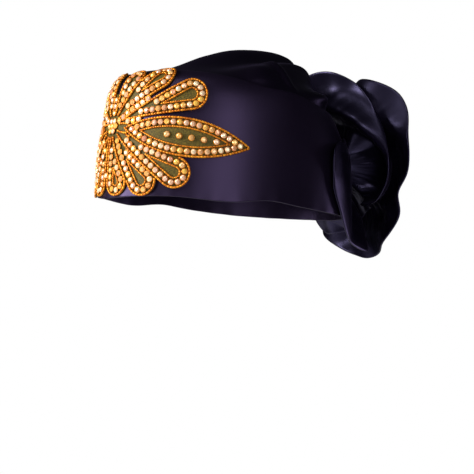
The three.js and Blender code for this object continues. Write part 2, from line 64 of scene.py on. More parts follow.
back = Vector((math.sin(SIDE) * math.cos(RISE), -math.cos(SIDE) * math.cos(RISE), math.sin(RISE)))
level = Vector((math.cos(SIDE), math.sin(SIDE), 0))
upright = back.cross(level)
right = level * math.cos(LEAN) + upright * math.sin(LEAN)
up = upright * math.cos(LEAN) - level * math.sin(LEAN)
aim = (right * (IMAGE / 2 - ORIGIN_PIXEL[0]) + up * (ORIGIN_PIXEL[1] - IMAGE / 2)) * (MM / PIXELS_PER_MM)

camera_data = bpy.data.cameras.new("camera")
camera_data.sensor_width = 36
camera_data.lens = PIXELS_PER_MM / MM * DISTANCE * camera_data.sensor_width / IMAGE
camera = bpy.data.objects.new("camera", camera_data)
bpy.context.scene.collection.objects.link(camera)
axes = Matrix((right, up, back)).transposed().to_4x4()
camera.matrix_world = Matrix.Translation(aim + back * DISTANCE) @ axes
bpy.context.scene.camera = camera
print("lens", round(camera_data.lens, 1), "mm at", DISTANCE, "m")

# %% [markdown]
# ## Studio
# Satin shows its shape only through what it mirrors. A narrow upright lamp a little to the right of the
# camera draws the glow on the band. A stronger one far to the left lights the beadwork and the outer
# ruffles; the band throws its light away from the camera. A small one above catches the fold that hoods
# the rosette, and a weak one behind draws its lower hems. A dark satin glows where it mirrors a lamp, so
# each lamp was placed from the glow that it has to make.

# %% Four lamps
LAMP_AIM = Vector((0, 0.02, 0.05))  # the middle of the tie


def lamp(name, place, size, power, roll=0, colour=(1, 1, 1)):
    """An area light that looks at the middle of the tie. Roll leans its upper end to the right."""
    data = bpy.data.lights.new(name, "AREA")
    data.shape = "RECTANGLE"
    data.size, data.size_y = size
    data.energy = power
    data.color = colour
    light = bpy.data.objects.new(name, data)
    light.location = place
    look = (LAMP_AIM - Vector(place)).to_track_quat("-Z", "Y")
    light.rotation_euler = (look @ Quaternion((0, 0, 1), -math.radians(roll))).to_euler()
    bpy.context.scene.collection.objects.link(light)


def from_camera(across, height, towards):
    """A place given as the camera sees it: to its right, above the tie, and towards the camera."""
    return level * across + Vector((0, 0, height)) + back * towards


lamp("key", from_camera(-1.22, 0.38, 0.45), (0.6, 0.8), 28)
lamp("top", from_camera(-0.36, 1.1, 0.6), (0.3, 0.3), 1.8)
lamp("side", from_camera(0.43, 0.25, 1.19), (0.45, 1.3), 6.6, roll=28)
lamp("rim", from_camera(1.05, -0.15, -0.7), (0.4, 0.6), 1.6, colour=(0.72, 0.58, 1))
print(len(bpy.data.lights), "lamps")

# %% [markdown]
# ## White behind, floor below
# The picture needs a white ground, but a white world would fill every dark fold with light. So the world
# is white for what the camera sees directly and nearly black for what lights the cloth. The tie is shown
# at the height at which it is worn, so the pale floor lies well below it.

# %% World and floor
FLOOR_HEIGHT, FLOOR_RADIUS = -0.42, 0.9
WORLD_LIGHT = 0.018


def fill(target, **values):
    """Sets a node's sockets by their names, with _ for a space."""
    for name, value in values.items():
        target.inputs[name.replace("_", " ")].default_value = value


def new_finish(name):
    """A new material, its tree and its shader."""
    material = bpy.data.materials.new(name)
    material.use_nodes = True
    return material, material.node_tree, material.node_tree.nodes["Principled BSDF"]


world = bpy.data.worlds.new("studio")
world.use_nodes = True
bpy.context.scene.world = world
nodes, links = world.node_tree.nodes, world.node_tree.links
seen = nodes.new("ShaderNodeBackground")
fill(seen, Color=(1, 1, 1, 1))
lit = nodes["Background"]
fill(lit, Color=(0.8, 0.85, 1, 1), Strength=WORLD_LIGHT)
ray = nodes.new("ShaderNodeLightPath")
mix = nodes.new("ShaderNodeMixShader")
links.new(ray.outputs["Is Camera Ray"], mix.inputs["Fac"])
links.new(lit.outputs[0], mix.inputs[1])
links.new(seen.outputs[0], mix.inputs[2])
links.new(mix.outputs[0], nodes["World Output"].inputs["Surface"])
bpy.context.scene.view_settings.view_transform = "Standard"

bpy.ops.object.select_all(action="DESELECT")
bpy.ops.mesh.primitive_circle_add(
    vertices=96, radius=FLOOR_RADIUS, fill_type="NGON", location=(0, 0, FLOOR_HEIGHT)
)
floor = bpy.context.object
floor.name = "floor"
paper, _, shader = new_finish("floor_paper")
fill(shader, Base_Color=(0.88, 0.88, 0.87, 1), Roughness=0.9)
floor.data.materials.append(paper)
print("floor", FLOOR_HEIGHT, "m")

# %% [markdown]
# ## Reading a shape from a table
# The head form and each ruffle are described by a few rows of numbers, the way a milliner keeps a block's
# sections. They could be sculpted, but a row is easy to read and to change, and the solids come from the
# same rows. A smooth curve through them gives every place between, so that the cloth has no facets,
# however finely it is divided.

# %% Tables as smooth curves
def read_table(rows, where, period=0.0):
    """The columns of a table at the given keys. The first column is the key, which rises."""
    rows = np.asarray(rows, float)
    if period:
        turn = np.zeros(rows.shape[1])
        turn[0] = period
        rows = np.vstack([rows[-3:] - turn, rows, rows[:3] + turn])
    key, values = rows[:, 0], rows[:, 1:]
    ends = np.vstack([rows[:1], rows, rows[-1:]])
    slope = (ends[2:, 1:] - ends[:-2, 1:]) / (ends[2:, :1] - ends[:-2, :1])
    where = np.asarray(where, float)
    i = np.clip(np.searchsorted(key, where, side="right") - 1, 0, len(key) - 2)
    span = (key[i + 1] - key[i])[..., None]
    t = ((where - key[i]) / span[..., 0])[..., None]
    rise = values[i + 1] - values[i]
    start, end = slope[i] * span, slope[i + 1] * span
    return values[i] + t * (start + t * (3 * rise - 2 * start - end + t * (start + end - 2 * rise)))


def smoothstep(x, low, high):
    """A soft step from 0 below low to 1 above high."""
    t = np.clip((x - low) / (high - low), 0, 1)
    return t * t * (3 - 2 * t)


def lerp(a, b, t):
    """From a to b as t runs from 0 to 1."""
    return a + (b - a) * t


# Height, half width, reach to the front, reach to the back, where it is widest.
FORM = [
    (-8, 80, 103, 103, 0), (0, 80, 103, 103, 0), (34, 79, 102, 101, 0), (55, 77, 99, 95, 0),
    (70, 75, 97, 86, 0), (84, 71, 94, 76, 0), (93, 65, 87, 70, 0), (99, 56, 73, 66, 4),
    (105, 45, 51, 62, 9), (111, 34, 31, 57, 14), (116.5, 22, 13, 51, 18), (119.5, 10, -4, 41, 21),
]
APEX = (0, 21, 120.4)
# Angle from the middle of the front, lower edge, upper edge.
BAND_EDGES = [
    (0, 0, 98), (40, 2, 97), (67, -0.5, 92.5), (84, 2, 87), (100, -1, 84.5), (125, -4, 77), (180, -6, 66),
]


def form_point(angle, height):
    """The head form's surface, at an angle from the front (90 is the +X side) and a height."""
    angle, height = np.broadcast_arrays(np.asarray(angle, float), np.asarray(height, float))
    turn = np.radians(angle)
    half, front, rear, middle = np.moveaxis(read_table(FORM, height), -1, 0)
    reach = np.where(np.cos(turn) > 0, front + middle, rear - middle)
    return np.stack([half * np.sin(turn), middle - reach * np.cos(turn), height], -1)


def form_normal(angle, height, step=0.2):
    """The direction straight out of the head form, from neighbours one step away."""
    across = form_point(angle + step, height) - form_point(angle - step, height)
    rise = form_point(angle, height + step) - form_point(angle, height - step)
    normal = np.cross(across, rise)
    return normal / np.linalg.norm(normal, axis=-1, keepdims=True)


def around(angle):
    """The same direction as an angle between -180 and 180 degrees."""
    return (angle + 180) % 360 - 180


def band_edge(angle):
    """The heights of the band's lower and upper edge at an angle."""
    edges = read_table(BAND_EDGES, np.abs(around(np.asarray(angle, float))))
    return edges[..., 0], edges[..., 1]


print("head form", len(FORM), "sections, widest", 2 * max(row[1] for row in FORM), "mm")

# %% [markdown]
# ## Cloth as a grid
# A sheet of cloth is a grid of points: columns run round the piece, rows run along it. A simulation could
# drape it, but this cloth is stiffened and sewn in its form, and has to stay where its solid is, so its
# points are computed. The grid carries a UV map in metres along the threads, so that the weave follows
# the cloth. Solidify gives the wall, and Subdivision Surface rounds the folded edges.

# %% From a grid to a sheet of cloth
def grid_lengths(grid, axis):
    """How far each point of a grid lies along a row or column, as a mean over all of them."""
    steps = np.linalg.norm(np.diff(grid, axis=axis), axis=-1).mean(axis=1 - axis)
    return np.concatenate([[0], np.cumsum(steps)])


def cloth_object(name, grid, wraps, pole=None):
    """A mesh from a grid of points in millimetres. A pole closes the last row."""
    rows, columns = grid.shape[:2]
    closed = np.concatenate([grid, grid[:, :1]], axis=1) if wraps else grid
    u, v = grid_lengths(closed, 1) * MM, grid_lengths(grid, 0) * MM
    points = grid.reshape(-1, 3)
    faces, corners = [], []
    for r in range(rows - 1):
        for c in range(columns if wraps else columns - 1):
            d = (c + 1) % columns
            faces.append((r * columns + c, r * columns + d, (r + 1) * columns + d, (r + 1) * columns + c))
            corners += [(u[c], v[r]), (u[c + 1], v[r]), (u[c + 1], v[r + 1]), (u[c], v[r + 1])]
    if pole is not None:
        points = np.vstack([points, [pole]])
        top = (rows - 1) * columns
        for c in range(columns):
            faces.append((top + c, top + (c + 1) % columns, len(points) - 1))
            corners += [(u[c], v[-1]), (u[c + 1], v[-1]), ((u[c] + u[c + 1]) / 2, v[-1])]
    mesh = bpy.data.meshes.new(name)
    mesh.from_pydata((points * MM).tolist(), [], faces)
    layer = mesh.uv_layers.new(name="threads")
    layer.data.foreach_set("uv", np.array(corners, np.float32).ravel())
    mesh.polygons.foreach_set("use_smooth", [True] * len(faces))
    piece = bpy.data.objects.new(name, mesh)
    bpy.context.scene.collection.objects.link(piece)
    return piece


def give_wall(piece, thickness, offset, levels=1):
    """Solidify towards the inside (-1) or to both sides (0), then round it off."""
    wall = piece.modifiers.new("wall", "SOLIDIFY")
    wall.thickness = thickness * MM
    wall.offset = offset
    wall.use_even_offset = False
    if levels:
        soft = piece.modifiers.new("soft", "SUBSURF")
        soft.levels = soft.render_levels = levels
    bpy.ops.object.select_all(action="DESELECT")
    piece.select_set(True)
    bpy.context.view_layer.objects.active = piece
    for modifier in [m.name for m in piece.modifiers]:
        bpy.ops.object.modifier_apply(modifier=modifier)
    print(piece.name, len(piece.data.polygons), "faces")


def make_piece(piece, material, slot, *replaced):
    """Gives a piece its finish and its place in the frame, and hides the solids that it stands for."""
    piece.data.materials.clear()
    piece.data.materials.append(material)
    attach(piece, "root")
    if replaced:
        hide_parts(*replaced)


# %% [markdown]
# ## Satin
# Satin floats its threads over the weave, so it is dark where it faces you and glows along the folds.
# The colour is a deep navy with violet in it. A plain glossy shader would glow white, so the base is
# nearly black and the gloss itself is tinted. Fine lines along the threads break the glow a little, and
# slow changes of shade keep a wide surface from looking painted.

# %% Satin finishes
THREAD_SCALE = (1400, 40, 1)  # streaks per metre across and along the threads
SHADE_SCALE = 28  # slow changes of shade per metre
STREAK_SHARE, SHADE_SHARE = 0.45, 0.55


def node(tree, kind, **values):
    """A new node with its settings."""
    made = tree.nodes.new(kind)
    for key, value in values.items():
        setattr(made, key, value)
    return made


def shades(tree, *stops):
    """A colour ramp through two or more stops, each a position and a colour."""
    ramp = node(tree, "ShaderNodeValToRGB")
    elements = ramp.color_ramp.elements
    for i, (position, colour) in enumerate(stops):
        stop = elements[i] if i < 2 else elements.new(1)
        stop.position = position
        stop.color = (*colour, 1)
    return ramp


def satin(name, dark, light, roughness, tint):
    """A satin between two shades, with the colour that its gloss takes."""
    material, tree, shader = new_finish(name)
    link = tree.links.new
    fill(shader, Roughness=roughness, Specular_IOR_Level=0.6, Specular_Tint=(*tint, 1))
    fill(shader, Sheen_Weight=0.02, Sheen_Roughness=0.3, Sheen_Tint=(0.5, 0.4, 0.8, 1))
    place = node(tree, "ShaderNodeTexCoord")
    threads = node(tree, "ShaderNodeMapping")
    fill(threads, Scale=THREAD_SCALE)
    link(place.outputs["UV"], threads.inputs["Vector"])
    streak = node(tree, "ShaderNodeTexNoise")
    fill(streak, Scale=1, Detail=3)
    link(threads.outputs[0], streak.inputs["Vector"])
    slow = node(tree, "ShaderNodeTexNoise")
    fill(slow, Scale=SHADE_SCALE, Detail=2)
    link(place.outputs["Object"], slow.inputs["Vector"])
    blend = node(tree, "ShaderNodeMath", operation="MULTIPLY_ADD")
    blend.inputs[1].default_value = STREAK_SHARE
    link(streak.outputs["Fac"], blend.inputs[0])
    shade = node(tree, "ShaderNodeMath", operation="MULTIPLY")
    shade.inputs[1].default_value = SHADE_SHARE
    link(slow.outputs["Fac"], shade.inputs[0])
    link(shade.outputs[0], blend.inputs[2])
    ramp = shades(tree, (0.36, dark), (0.64, light))
    link(blend.outputs[0], ramp.inputs["Fac"])
    link(ramp.outputs["Color"], shader.inputs["Base Color"])
    bump = node(tree, "ShaderNodeBump")
    fill(bump, Strength=0.12, Distance=0.0002)
    link(streak.outputs["Fac"], bump.inputs["Height"])
    link(bump.outputs[0], shader.inputs["Normal"])
    return material


band_satin = satin(
    "band_satin_finish", (0.0025, 0.0012, 0.004), (0.004, 0.0022, 0.0068), 0.42, (0.64, 0.46, 1)
)
# The crown is the band's navy satin with its base painted about half as dark: painted shade for a crown that
# faces up, away from the lamps.
crown_satin = satin(
    "crown_satin_finish", (0.0012, 0.0006, 0.002), (0.002, 0.0012, 0.0036), 0.34, (0.64, 0.46, 1)
)
ruffle_satin = satin(
    "ruffle_satin_finish", (0.002, 0.0012, 0.0045), (0.0034, 0.0022, 0.0075), 0.32, (0.57, 0.5, 1)
)
print("satin finishes", [m.name for m in (band_satin, crown_satin, ruffle_satin)])

# %% [markdown]
# ## Band
# The band is satin folded double over a stiff interlining. It is the calmest part: the cloth lies
# almost flat, with a slow unevenness that only shows as the glow moves over it, and a little rippling
# along the lower fold. A cylinder could be bent to it, but a grid laid on the head form fits at once.

# %% The wide band
BAND_WALL, CLOTH_WALL = 2.0, 1.5
SEAM_GAP, SEAT_GAP = 0.9, 0.9  # between band and crown, and under what is sewn on to the band
BAND_COLUMNS, BAND_ROWS = 240, 34
CROWDING = 0.94  # of the band's rows towards its edges, 0 for even rows


def band_ripple(angle, share):
    """Unevenness of the band in millimetres; share runs from its lower to its upper edge."""
    a = np.radians(angle)
    slow = 0.22 * np.sin(5 * a + 0.6) * np.cos(3.1 * share) + 0.16 * np.sin(9 * a + 2.2 + 2.4 * share)
    hem = 0.35 * np.exp(-share / 0.06) * np.sin(31 * a + 1.1) * np.sin(7 * a)
    return slow + hem


def edge_crowding(count):
    """Shares from 0 to 1 that crowd towards both ends, where the cloth is folded over."""
    t = np.linspace(-1, 1, count)
    return (np.sin(t * np.pi / 2 * CROWDING) / math.sin(np.pi / 2 * CROWDING) + 1) / 2


angles = np.arange(BAND_COLUMNS) * 360 / BAND_COLUMNS
low, high = band_edge(angles)
share = edge_crowding(BAND_ROWS)[:, None]
height = lerp(low, high, share)
outer = form_point(angles, height) + form_normal(angles, height) * band_ripple(angles, share)[..., None]
band = cloth_object("band_cloth", outer, True)
give_wall(band, BAND_WALL, -1)
make_piece(band, band_satin, "band_satin", "band")

# %% [markdown]
# ## Crown
# The crown is a loose cap of satin, tucked inside the band and drawn together behind, under the
# rosette. The pull makes folds that fan out from one point and die away towards the front. A simulation
# would put them anywhere. As a height added to the head form they lie where they should: a table of
# ridges and hollows by direction, finer creases between them, and one roll that lies across them.

# %% The gathered crown
GATHER_POINT = np.array((0.0, 84.0, 84.0))
GATHER_LEAN = np.array((0.0, -0.66, 0.75))
# Direction round the gather point (0 over the top to the front), height of the fold.
GATHERS = [
    (-180, 0), (-118, 2), (-100, -2.5), (-82, 3.5), (-66, -3), (-50, 4), (-35, -2.5), (-19, 3.5), (-5, -2.5),
    (10, 3.5), (24, -2.5), (38, 4.5), (53, -3.5), (69, 4.5), (86, -3), (104, 2.5), (120, -1), (180, 0),
]
# How far from the gather point the folds rise and fade, and the creases.
FOLD_RISE, FOLD_FADE = (18, 60), (90, 170)
CREASE_RISE, CREASE_FADE, CREASE_HEIGHT = (14, 34), (60, 130), 1.1
# The directions where the roll rises and ends, and its distance from the gather point.
ROLL_RISE, ROLL_END, ROLL_DISTANCE, ROLL_WIDTH, ROLL_HEIGHT = (24, 38), (56, 70), 93, 3.5, 2.2
CROWN_TUCK, CROWN_EASE = 10, 1.7  # depth inside the band; crowds the rows towards the top
SWELL = (1, 13)  # above the band's edge, where the crown comes out of it
CROWN_COLUMNS, CROWN_ROWS = 300, 90


def gather_lift(points):
    """How far the gathers lift the crown at places on the head form."""
    away = points - GATHER_POINT
    bearing = np.degrees(np.arctan2(away[..., 0], away @ GATHER_LEAN))
    distance = np.linalg.norm(away, axis=-1)
    strength = smoothstep(distance, *FOLD_RISE) * lerp(1, 0.5, smoothstep(distance, *FOLD_FADE))
    folds = read_table(GATHERS, bearing)[..., 0]
    b = np.radians(bearing)
    crease = np.abs(np.sin(11 * b + 0.9 * np.sin(3 * b) + distance / 90)) ** 0.6 - 0.7
    near = smoothstep(distance, *CREASE_RISE) * (1 - smoothstep(distance, *CREASE_FADE))
    across = smoothstep(bearing, *ROLL_RISE) * (1 - smoothstep(bearing, *ROLL_END))
    roll = across * np.exp(-(((distance - ROLL_DISTANCE) / ROLL_WIDTH) ** 2))
    return strength * folds + CREASE_HEIGHT * near * crease + ROLL_HEIGHT * roll


angles = np.arange(CROWN_COLUMNS) * 360 / CROWN_COLUMNS
edge = band_edge(angles)[1]
climb = 1 - (1 - np.linspace(0, 1, CROWN_ROWS)[:, None]) ** CROWN_EASE
height = lerp(edge - CROWN_TUCK, FORM[-1][0], climb)
free = smoothstep(height - edge, *SWELL)
lift = lerp(-BAND_WALL - SEAM_GAP, gather_lift(form_point(angles, height)), free)
outer = form_point(angles, height) + form_normal(angles, height) * lift[..., None]
crown = cloth_object("crown_cloth", outer, True, APEX)
give_wall(crown, CLOTH_WALL, -1, levels=0)
make_piece(crown, crown_satin, "crown_satin", "crown")

# %% [markdown]
# ## Rosette
# Four ruffles are sewn on a small ring at the back of the band, one behind the other. Each has a table
# of its ridges and hollows: the direction seen from behind, how far the hem reaches, how far back it
# swings, and how the cloth bellies between seam and hem. A ruffle never comes nearer to the one in
# front than a set room, so the layers cannot cut through each other.

# %% Ruffle tables
ROSETTE_HEIGHT, ROSETTE_EYE = 38, 12  # height of its middle, radius of the ring that it is sewn on
SEAM_HEIGHTS = [0, 3, 6, 10.4]  # of the four gathered rings, from the band
LAYER_STEP, HEM_STEP = 3, 6  # least room between two ruffles, at their seams and at their hems
HEAD_MARGIN, HEAD_MARGIN_FROM = 1.2, 40  # room in front of the first ruffle, in full from this radius
RUFFLE_EASE = 1.4  # a ruffle leaves its seam nearly flat and swings back further out
# Direction, reach, swing to the back, belly.
RUFFLES = {
    "ruffle_collar": [
        (-160, 70, -50, -6), (-140, 60, -40, -4), (-124, 50, -18, 0), (-110, 45, 2, 0), (-98, 47, 12, 0),
        (-88, 54, 20, 2), (-78, 66, 24, 8), (-69, 73, 17, 10), (-61, 77, 2, 8), (-53, 79, -16, 2),
        (-44, 80, -32, -2), (-28, 77, -48, -6), (-10, 74, -53, -12), (7, 73, -52, -12), (22, 45, -22, -4),
        (48, 29, -6, 0), (70, 24, -2, 0), (110, 24, -2, 0), (130, 40, -10, 0), (154, 72, -46, -6),
        (178, 72, -50, -8),
    ],
    "ruffle_middle": [
        (-160, 58, 16, 0), (-137, 54, 8, 2), (-118, 60, 14, 0), (-98, 50, 13, 0), (-80, 40, 8, 0),
        (-62, 37, 3, 2), (-48, 42, 2, 4), (-37, 53, 2, 12), (-24, 63, 3, 18), (-4, 67, 4, 20),
        (18, 63, 6, 20), (40, 61, 7, 16), (52, 63, 7, 2), (62, 66, 6, -20), (73, 71, 1, -28),
        (86, 76, -10, -22), (104, 76, -17, -12), (122, 73, -12, -4), (147, 62, 2, 0), (173, 58, 15, 0),
    ],
    "ruffle_rear": [
        (-168, 66, 18, 0), (-145, 69, 31, 0), (-120, 68, 17, 0), (-95, 71, 30, 4), (-80, 74, 26, 10),
        (-62, 73, 20, 12), (-45, 73, 20, -12), (-31, 71, 23, -2), (-19, 67, 14, 4), (-6, 67, 24, 4),
        (8, 69, 22, 0), (26, 70, 25, -4), (42, 73, 30, -8), (56, 75, 27, -8), (74, 74, 14, -4),
        (94, 70, 22, 0), (115, 67, 31, 0), (140, 69, 19, 0), (165, 69, 31, 0),
    ],
    "ruffle_heart": [
        (-180 + 180 / 7 * i, *((32, 22, -2) if i % 2 else (36, 32, 3))) for i in range(14)
    ],
}
LEANS = [0, 105, -60, 0]  # degrees by which each ruffle's folds lean round on their way out
LEAN_FROM = 0.45  # share of the way out where they start to
BELLY_EASE = {"front": 0.75, "back": 0.95}  # a hood rises at its seam, a pocket is deepest further out
FOLD_SPREAD = 6  # how far round a place the ruffle in front is looked at
STEEPEST = 2.2  # the most that a steep place widens the room
TIERS = list(RUFFLES)
ROSETTE_SEAT = form_point(180, ROSETTE_HEIGHT - ROSETTE_EYE)[1] + SEAT_GAP + CLOTH_WALL / 2
print("ruffles", {name: len(rows) for name, rows in RUFFLES.items()})

# %% [markdown]
# ## Where a ruffle lies
# A ruffle's depth at a place is read from its own table first. It is then pushed back until it clears the
# band, the crown and every ruffle in front of it. Loose cloth does the same, and layers that are settled
# one by one need no collision test.

# %% Depth of a ruffle
def fold_of(tier, angle):
    """Reach, swing and belly of a ruffle in a direction."""
    return np.moveaxis(read_table(RUFFLES[TIERS[tier]], angle, 360), -1, 0)


def belly_of(tier, angle, out):
    """How far the cloth bellies back, read where its leaning fold comes from."""
    within = np.minimum(out, 1)
    belly = fold_of(tier, around(angle + LEANS[tier] * np.maximum(0, within - LEAN_FROM)))[2]
    ease = np.where(belly < 0, BELLY_EASE["front"], BELLY_EASE["back"])
    return belly * np.sin(np.pi * within**ease)


def head_limit(angle, radius):
    """How far forward the first ruffle may lie before it would reach into the band or the crown."""
    turn = np.radians(angle)
    height = np.clip(ROSETTE_HEIGHT + radius * np.sin(turn), 0, FORM[-1][0])
    margin = CLOTH_WALL + HEAD_MARGIN * smoothstep(radius, ROSETTE_EYE, HEAD_MARGIN_FROM)
    half, front, rear, middle = np.moveaxis(read_table(FORM, height), -1, 0)
    beside = radius * np.cos(turn) / (half + margin)
    return middle + (rear - middle + margin) * np.sqrt(np.maximum(0, 1 - beside**2)) - ROSETTE_SEAT


def swing(tier, angle, radius):
    """How far back a ruffle's cloth lies at a radius, kept clear of all that lies in front of it."""
    reach, hem_back = fold_of(tier, angle)[:2]
    out = np.clip((radius - ROSETTE_EYE) / (reach - ROSETTE_EYE), 0, None)
    own = lerp(SEAM_HEIGHTS[tier], hem_back, out**RUFFLE_EASE) + belly_of(tier, angle, out)
    own = np.maximum(own, head_limit(angle, radius))
    room = lerp(LAYER_STEP, HEM_STEP, out)
    for front in range(tier):
        depth, steep = front_of(front, angle, radius)
        past = radius - fold_of(front, angle)[0] - 2 * HEM_STEP
        own = np.maximum(own, depth + room * steep - 2 * np.maximum(0, past))
    return np.where(radius <= ROSETTE_EYE, SEAM_HEIGHTS[tier], own)


def front_of(tier, angle, radius):
    """The furthest back that a ruffle lies at a place and close around it, and how steep it is there."""
    spread = lerp(1, FOLD_SPREAD, smoothstep(radius, ROSETTE_EYE, 2 * ROSETTE_EYE))
    aside = np.degrees(spread / radius)
    depths = []
    for turn, away in ((0, 0), (aside, 0), (-aside, 0), (0, spread), (0, -spread)):
        there = around(angle + turn)
        depths.append(swing(tier, there, np.minimum(radius + away, fold_of(tier, there)[0])))
    slope = np.hypot(depths[1] - depths[2], depths[3] - depths[4]) / (2 * spread)
    return np.max(depths, 0), np.minimum(np.hypot(1, slope), STEEPEST)


hems = [float(swing(tier, 90.0, fold_of(tier, 90.0)[0])) for tier in range(len(TIERS))]
print("upper hems", np.round(hems, 1).tolist(), "mm behind the seat")

# %% [markdown]
# ## Ruffles
# Each ruffle is a ring of satin that is drawn in at its seam and hangs free at its hem. The depths are
# smoothed as cloth would be, and then get what a table is too coarse for: the small gathers at the seam
# and slow dents in the loose part.

# %% The four ruffles
RUFFLE_COLUMNS, RUFFLE_ROWS = 220, 32
SMOOTHING = (2, 3, 20, 20)  # passes for each ruffle
GATHER_FOLDS, GATHER_DEPTH, DENT_DEPTH = (23, 34, 40, 26), (0.12, 0.16, 0.5, 0.5), 0.22


def smoothed(field, times):
    """A field on the ruffle's grid with sharp changes worn down; seam and hem only along themselves."""
    for _ in range(times):
        field = (np.roll(field, 1, 1) + 2 * field + np.roll(field, -1, 1)) / 4
        field[1:-1] = (field[:-2] + 2 * field[1:-1] + field[2:]) / 4
    return field


def small_folds(tier, angle, out):
    """Gathers drawn in at the seam and slow dents in the loose cloth, in millimetres."""
    a = np.radians(angle)
    gathers = np.sin(GATHER_FOLDS[tier] * a + 1.6 * np.sin(5 * a + tier) + 1.5 * out)
    near_seam = smoothstep(out, 0.02, 0.2) * (1 - smoothstep(out, 0.35, 0.95))
    dents = np.sin(9 * a + 7 * out + tier) * np.sin(4 * a - 5 * out + 2 * tier)
    dents = dents + 0.6 * np.sin(17 * a - 8 * out)
    return GATHER_DEPTH[tier] * near_seam * gathers + DENT_DEPTH * smoothstep(out, 0.1, 0.4) * dents


def ruffle_grid(tier):
    """Points of a ruffle: columns round the rosette, rows from the seam to the hem."""
    angle = -180 + np.arange(RUFFLE_COLUMNS) * 360 / RUFFLE_COLUMNS
    out = np.linspace(0, 1, RUFFLE_ROWS)[:, None]
    radius = lerp(ROSETTE_EYE, fold_of(tier, angle)[0], out)
    angle = np.broadcast_to(angle, radius.shape)
    turn = np.radians(angle)
    back_by = smoothed(swing(tier, angle, radius), SMOOTHING[tier]) + small_folds(tier, angle, out)
    return np.stack(
        [radius * np.cos(turn), ROSETTE_SEAT + back_by, ROSETTE_HEIGHT + radius * np.sin(turn)], -1
    )


# Mean depth, length of the hem and flat area of the four cut rings, in metres.
CUTS = [(0.050, 0.504, 0.0145), (0.058, 0.432, 0.0148), (0.069, 0.479, 0.0193), (0.034, 0.274, 0.0059)]
for tier, name in enumerate(TIERS):
    piece = cloth_object(name + "_cloth", ruffle_grid(tier), True)
    give_wall(piece, CLOTH_WALL, 0)
    make_piece(piece, ruffle_satin, "ruffle_satin", name)
    depth, hem, area = CUTS[tier]

# %% [markdown]
# ## Bud
# The eye of the rosette is a strip of the same satin, rolled up on itself and a little open at its free
# edge. It closes the ring where the ruffles are sewn. Screw or spin could turn it, but a grid on a spiral
# also carries the threads.

# %% The rolled bud
# Turns of the roll, its inner and outer radius, height, how far it sinks outwards, how its edge opens.
BUD = dict(turns=2.1, core=3, radius=10.3, rise=34, fall=6, flare=3, curl=3)
BUD_COLUMNS, BUD_ROWS = 130, 22

along = np.linspace(0, 1, BUD_COLUMNS)
rise = np.linspace(0, 1, BUD_ROWS)[:, None]
turn = -along * BUD["turns"] * 2 * np.pi
radius = lerp(BUD["core"], BUD["radius"], along) + BUD["flare"] * rise ** BUD["curl"]
depth = ROSETTE_SEAT + rise * (BUD["rise"] - BUD["fall"] * along)
bud = cloth_object(
    "rosette_bud_cloth",
    np.stack([radius * np.cos(turn), depth, ROSETTE_HEIGHT + radius * np.sin(turn)], -1),
    False,
)
give_wall(bud, CLOTH_WALL, 0)
make_piece(bud, ruffle_satin, "ruffle_satin", "rosette_bud")

# %% [markdown]
# ## Applique: places on the band
# The applique is a fan of teardrop petals with one long leaf to each side, sewn on the front of the
# band. It is drawn flat first, as on the embroiderer's frame, and then laid on the band: one
# coordinate is measured round the band, the other up its slope, so nothing is stretched.

# %% From the flat drawing to the band
APPLIQUE_HEIGHT = 54  # of the middle of the fan, up the slope of the band
WALK_ANGLES = np.arange(0, 130, 0.5)  # steps round the band, over which lengths are added up
WALK_HEIGHTS = np.arange(0, 116, 1.0)  # and steps up its slope


def on_band(flat):
    """Angles and heights on the band for flat points (across, up) from the middle of the fan."""
    round_it = form_point(WALK_ANGLES, APPLIQUE_HEIGHT)
    length = np.concatenate([[0], np.cumsum(np.linalg.norm(np.diff(round_it, axis=0), axis=1))])
    angle = np.sign(flat[:, 0]) * np.interp(np.abs(flat[:, 0]), length, WALK_ANGLES)
    slope = form_point(angle[:, None], WALK_HEIGHTS)
    climbed = np.cumsum(np.linalg.norm(np.diff(slope, axis=1), axis=2), axis=1)
    climbed = np.hstack([np.zeros((len(flat), 1)), climbed])
    height = [np.interp(u, row, WALK_HEIGHTS) for u, row in zip(APPLIQUE_HEIGHT + flat[:, 1], climbed)]
    return angle, np.array(height)


def lay(flat, lift):
    """Points at a height above the band for flat points."""
    flat = np.asarray(flat, float)
    angle, height = on_band(flat)
    return form_point(angle, height) + form_normal(angle, height) * np.reshape(lift, (-1, 1))


print("middle of the fan at", np.round(lay([(0, 0)], 0)[0], 1).tolist(), "mm")

# %% [markdown]
# ## Applique: petals
# A petal is a drop: two straight sides from its foot and a round tip. A leaf is two arcs that meet in
# points. Both can be drawn in by any distance without changing their kind, which gives the ground, the
# beaded lines and the rows of stones from one outline.

# %% Petals in the flat drawing
# Name, bearing, where it starts on its axis, reach, half width, pointed like a leaf. Petals that come
# first lie on top where two of them meet.
PETALS = [
    ("leaf", -7.5, 14, 114, 14.8, True),
    ("leaf_stem", -7, -2, 34, 4.5, True),
    ("top_outer", 19.5, 8, 84, 12.5, False),
    ("low_outer", -30.5, -4, 80, 12, False),
    ("top_inner", 68, -3, 49, 9.5, False),
    ("low_inner", -75, 1, 54, 10.5, False),
    ("top_middle", 43.5, 0, 67, 11.5, False),
    ("low_middle", -50, -9, 65, 11.5, False),
]
SIDE_STEPS, TIP_STEPS = 40, 24


